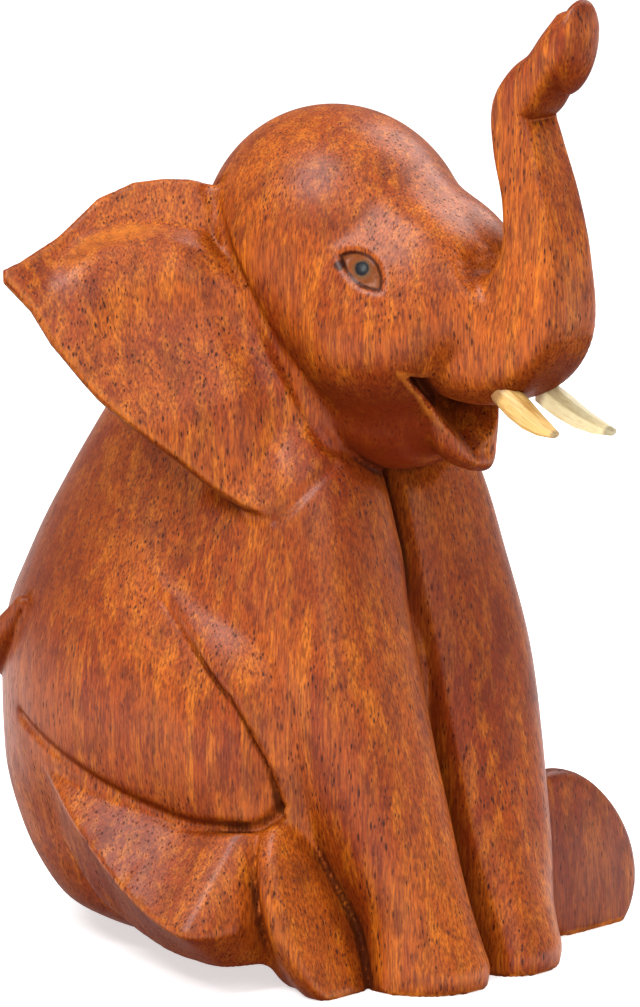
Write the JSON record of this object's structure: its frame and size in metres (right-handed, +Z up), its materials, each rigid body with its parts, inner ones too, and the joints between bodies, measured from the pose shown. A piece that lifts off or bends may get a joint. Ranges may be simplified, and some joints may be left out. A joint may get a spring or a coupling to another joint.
{
  "type": "carved elephant figurine",
  "caption": "Sitting elephant carved from one block of hardwood, trunk raised, ears swept back, with pale inset tusks and a flat underside.",
  "frame": {"origin": "on the flat sawn underside, on the left-right centre plane, at the middle of the resting area between the feet and the rump", "axes": "+Z up out of the underside, -Y the way the face and the soles of the feet point, +X the elephant's left"},
  "size_m": [0.0888, 0.1076, 0.15],
  "materials": {
    "stained_hardwood": "hand-sanded and waxed to a satin sheen, open grain",
    "pale_wood": "knife-cut, bare to lightly waxed"
  },
  "bodies": {
    "root": {"carved_body": "stained_hardwood", "tusk_right": "pale_wood", "tusk_left": "pale_wood"}
  },
  "joints": []
}
